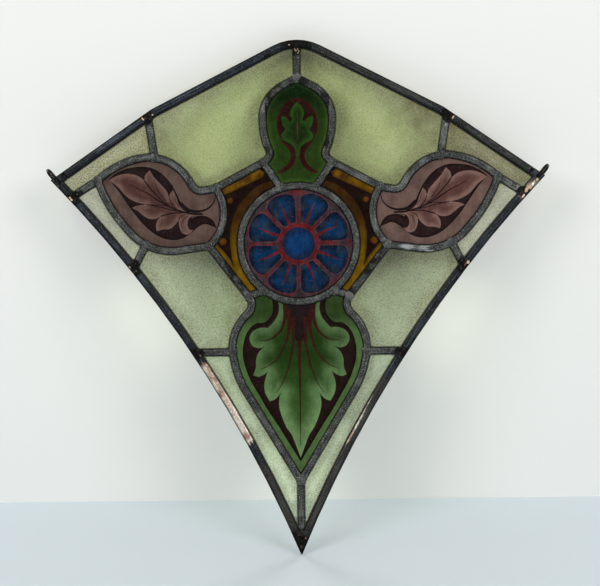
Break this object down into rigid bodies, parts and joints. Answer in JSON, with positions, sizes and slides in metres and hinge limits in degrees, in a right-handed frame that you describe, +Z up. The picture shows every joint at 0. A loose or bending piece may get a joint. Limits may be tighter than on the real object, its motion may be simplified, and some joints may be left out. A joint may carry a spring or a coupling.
{
  "type": "leaded glass panel",
  "caption": "Kite-shaped leaded glass panel with a painted rosette roundel and leaves among pale green panes, hung by wire loops at its upper corners.",
  "frame": {"origin": "midway between the eyes of the two hanging loops, in the middle of the panel's thickness", "axes": "+Z up along the panel's middle line from the pointed tip to the roof-shaped top, +Y out of the back, +X towards the loop on the right seen from the front"},
  "size_m": [0.433, 0.0118, 0.4424],
  "materials": {
    "lead": "dull grey lead with dark patina, stated as painted metal because the list has no lead",
    "border_lead": "smooth dark blue-black patinated lead",
    "wire": "dark tarnished wire",
    "glass_pale": "pale green clear glass with dark mottling and dirt near the lead",
    "glass_green": "painted and fired leaves, dark green to light green, with brown veins",
    "glass_plum": "painted and fired scrolls and leaves, green and plum on a near-black ground",
    "glass_amber": "amber and dark brown stain",
    "glass_blue": "painted rosette, blue petals with red lines on a mauve ground"
  },
  "bodies": {
    "root": {"lead_roundel_ring": "lead", "lead_top_leaf": "lead", "lead_bottom_leaf": "lead", "lead_lobe_right": "lead", "lead_lobe_left": "lead", "lead_neck_right": "lead", "lead_neck_left": "lead", "lead_diagonal_right": "lead", "lead_diagonal_left": "lead", "lead_shoulder_right": "lead", "lead_shoulder_left": "lead", "rim_lower_right": "border_lead", "rim_lower_left": "border_lead", "rim_upper": "border_lead", "lead_top_post": "lead", "lead_bottom_post": "lead", "lead_upper_strut_right": "lead", "lead_upper_strut_left": "lead", "lead_tip_strut_right": "lead", "lead_tip_strut_left": "lead", "lead_side_strut_right": "lead", "lead_side_strut_left": "lead", "lead_cross_strut_right": "lead", "lead_cross_strut_left": "lead", "glass_roundel": "glass_blue", "glass_top_leaf": "glass_green", "glass_bottom_leaf": "glass_green", "glass_lobe_right": "glass_plum", "glass_lobe_left": "glass_plum", "glass_amber_right": "glass_amber", "glass_amber_left": "glass_amber", "glass_upper_pane_right": "glass_pale", "glass_upper_pane_left": "glass_pale", "glass_corner_strip_right": "glass_pale", "glass_corner_strip_left": "glass_pale", "glass_side_strip_right": "glass_pale", "glass_side_strip_left": "glass_pale", "glass_lower_pane_right": "glass_pale", "glass_lower_pane_left": "glass_pale", "glass_bottom_strip_right": "glass_pale", "glass_bottom_strip_left": "glass_pale", "loop_right": "wire", "loop_left": "wire"}
  },
  "joints": []
}
